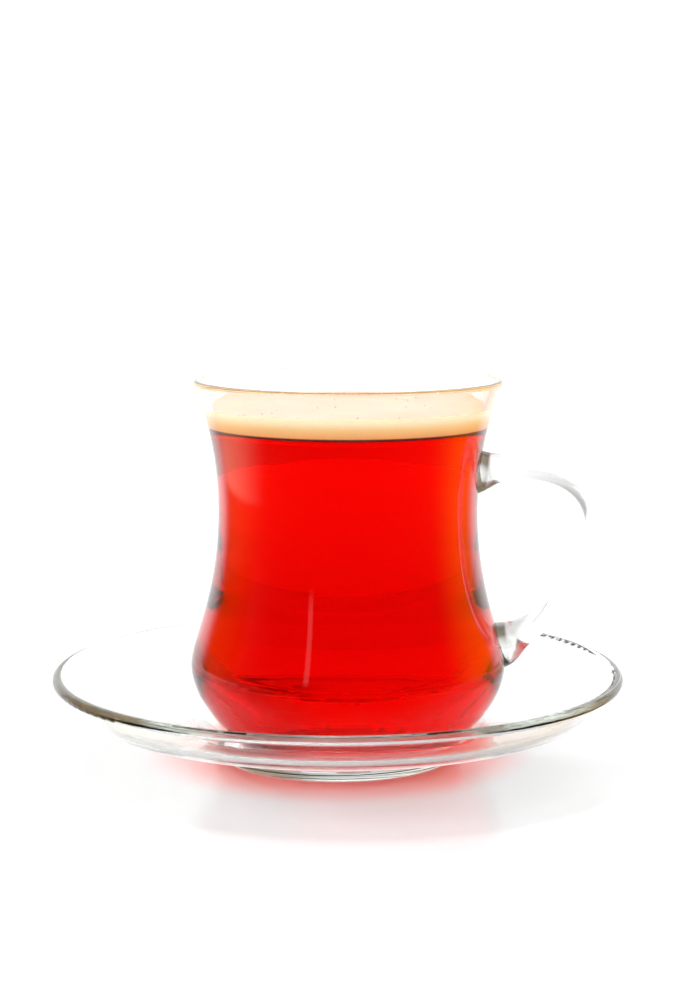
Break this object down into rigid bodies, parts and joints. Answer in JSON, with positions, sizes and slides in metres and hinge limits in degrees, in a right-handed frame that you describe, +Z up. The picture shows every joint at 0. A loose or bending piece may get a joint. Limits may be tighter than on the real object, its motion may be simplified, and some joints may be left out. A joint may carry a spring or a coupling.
{
  "type": "turkish tea glass",
  "caption": "Clear waisted tea glass with a loop handle, filled with red tea under a layer of froth, standing in the well of a shallow clear glass saucer.",
  "frame": {"origin": "centre of the saucer's foot, on the surface it stands on", "axes": "+Z up, +X towards the handle, +Y away from a viewer who sees the handle on the right"},
  "size_m": [0.1224, 0.1224, 0.081],
  "materials": {
    "saucer_glass": "smooth clear pressed glass",
    "clear_glass": "smooth clear glass",
    "red_tea": "clear deep red liquid",
    "froth_foam": "soft matt cream foam"
  },
  "bodies": {
    "root": {"saucer": "saucer_glass", "tea_glass": "clear_glass", "tea": "red_tea", "froth": "froth_foam"}
  },
  "joints": []
}
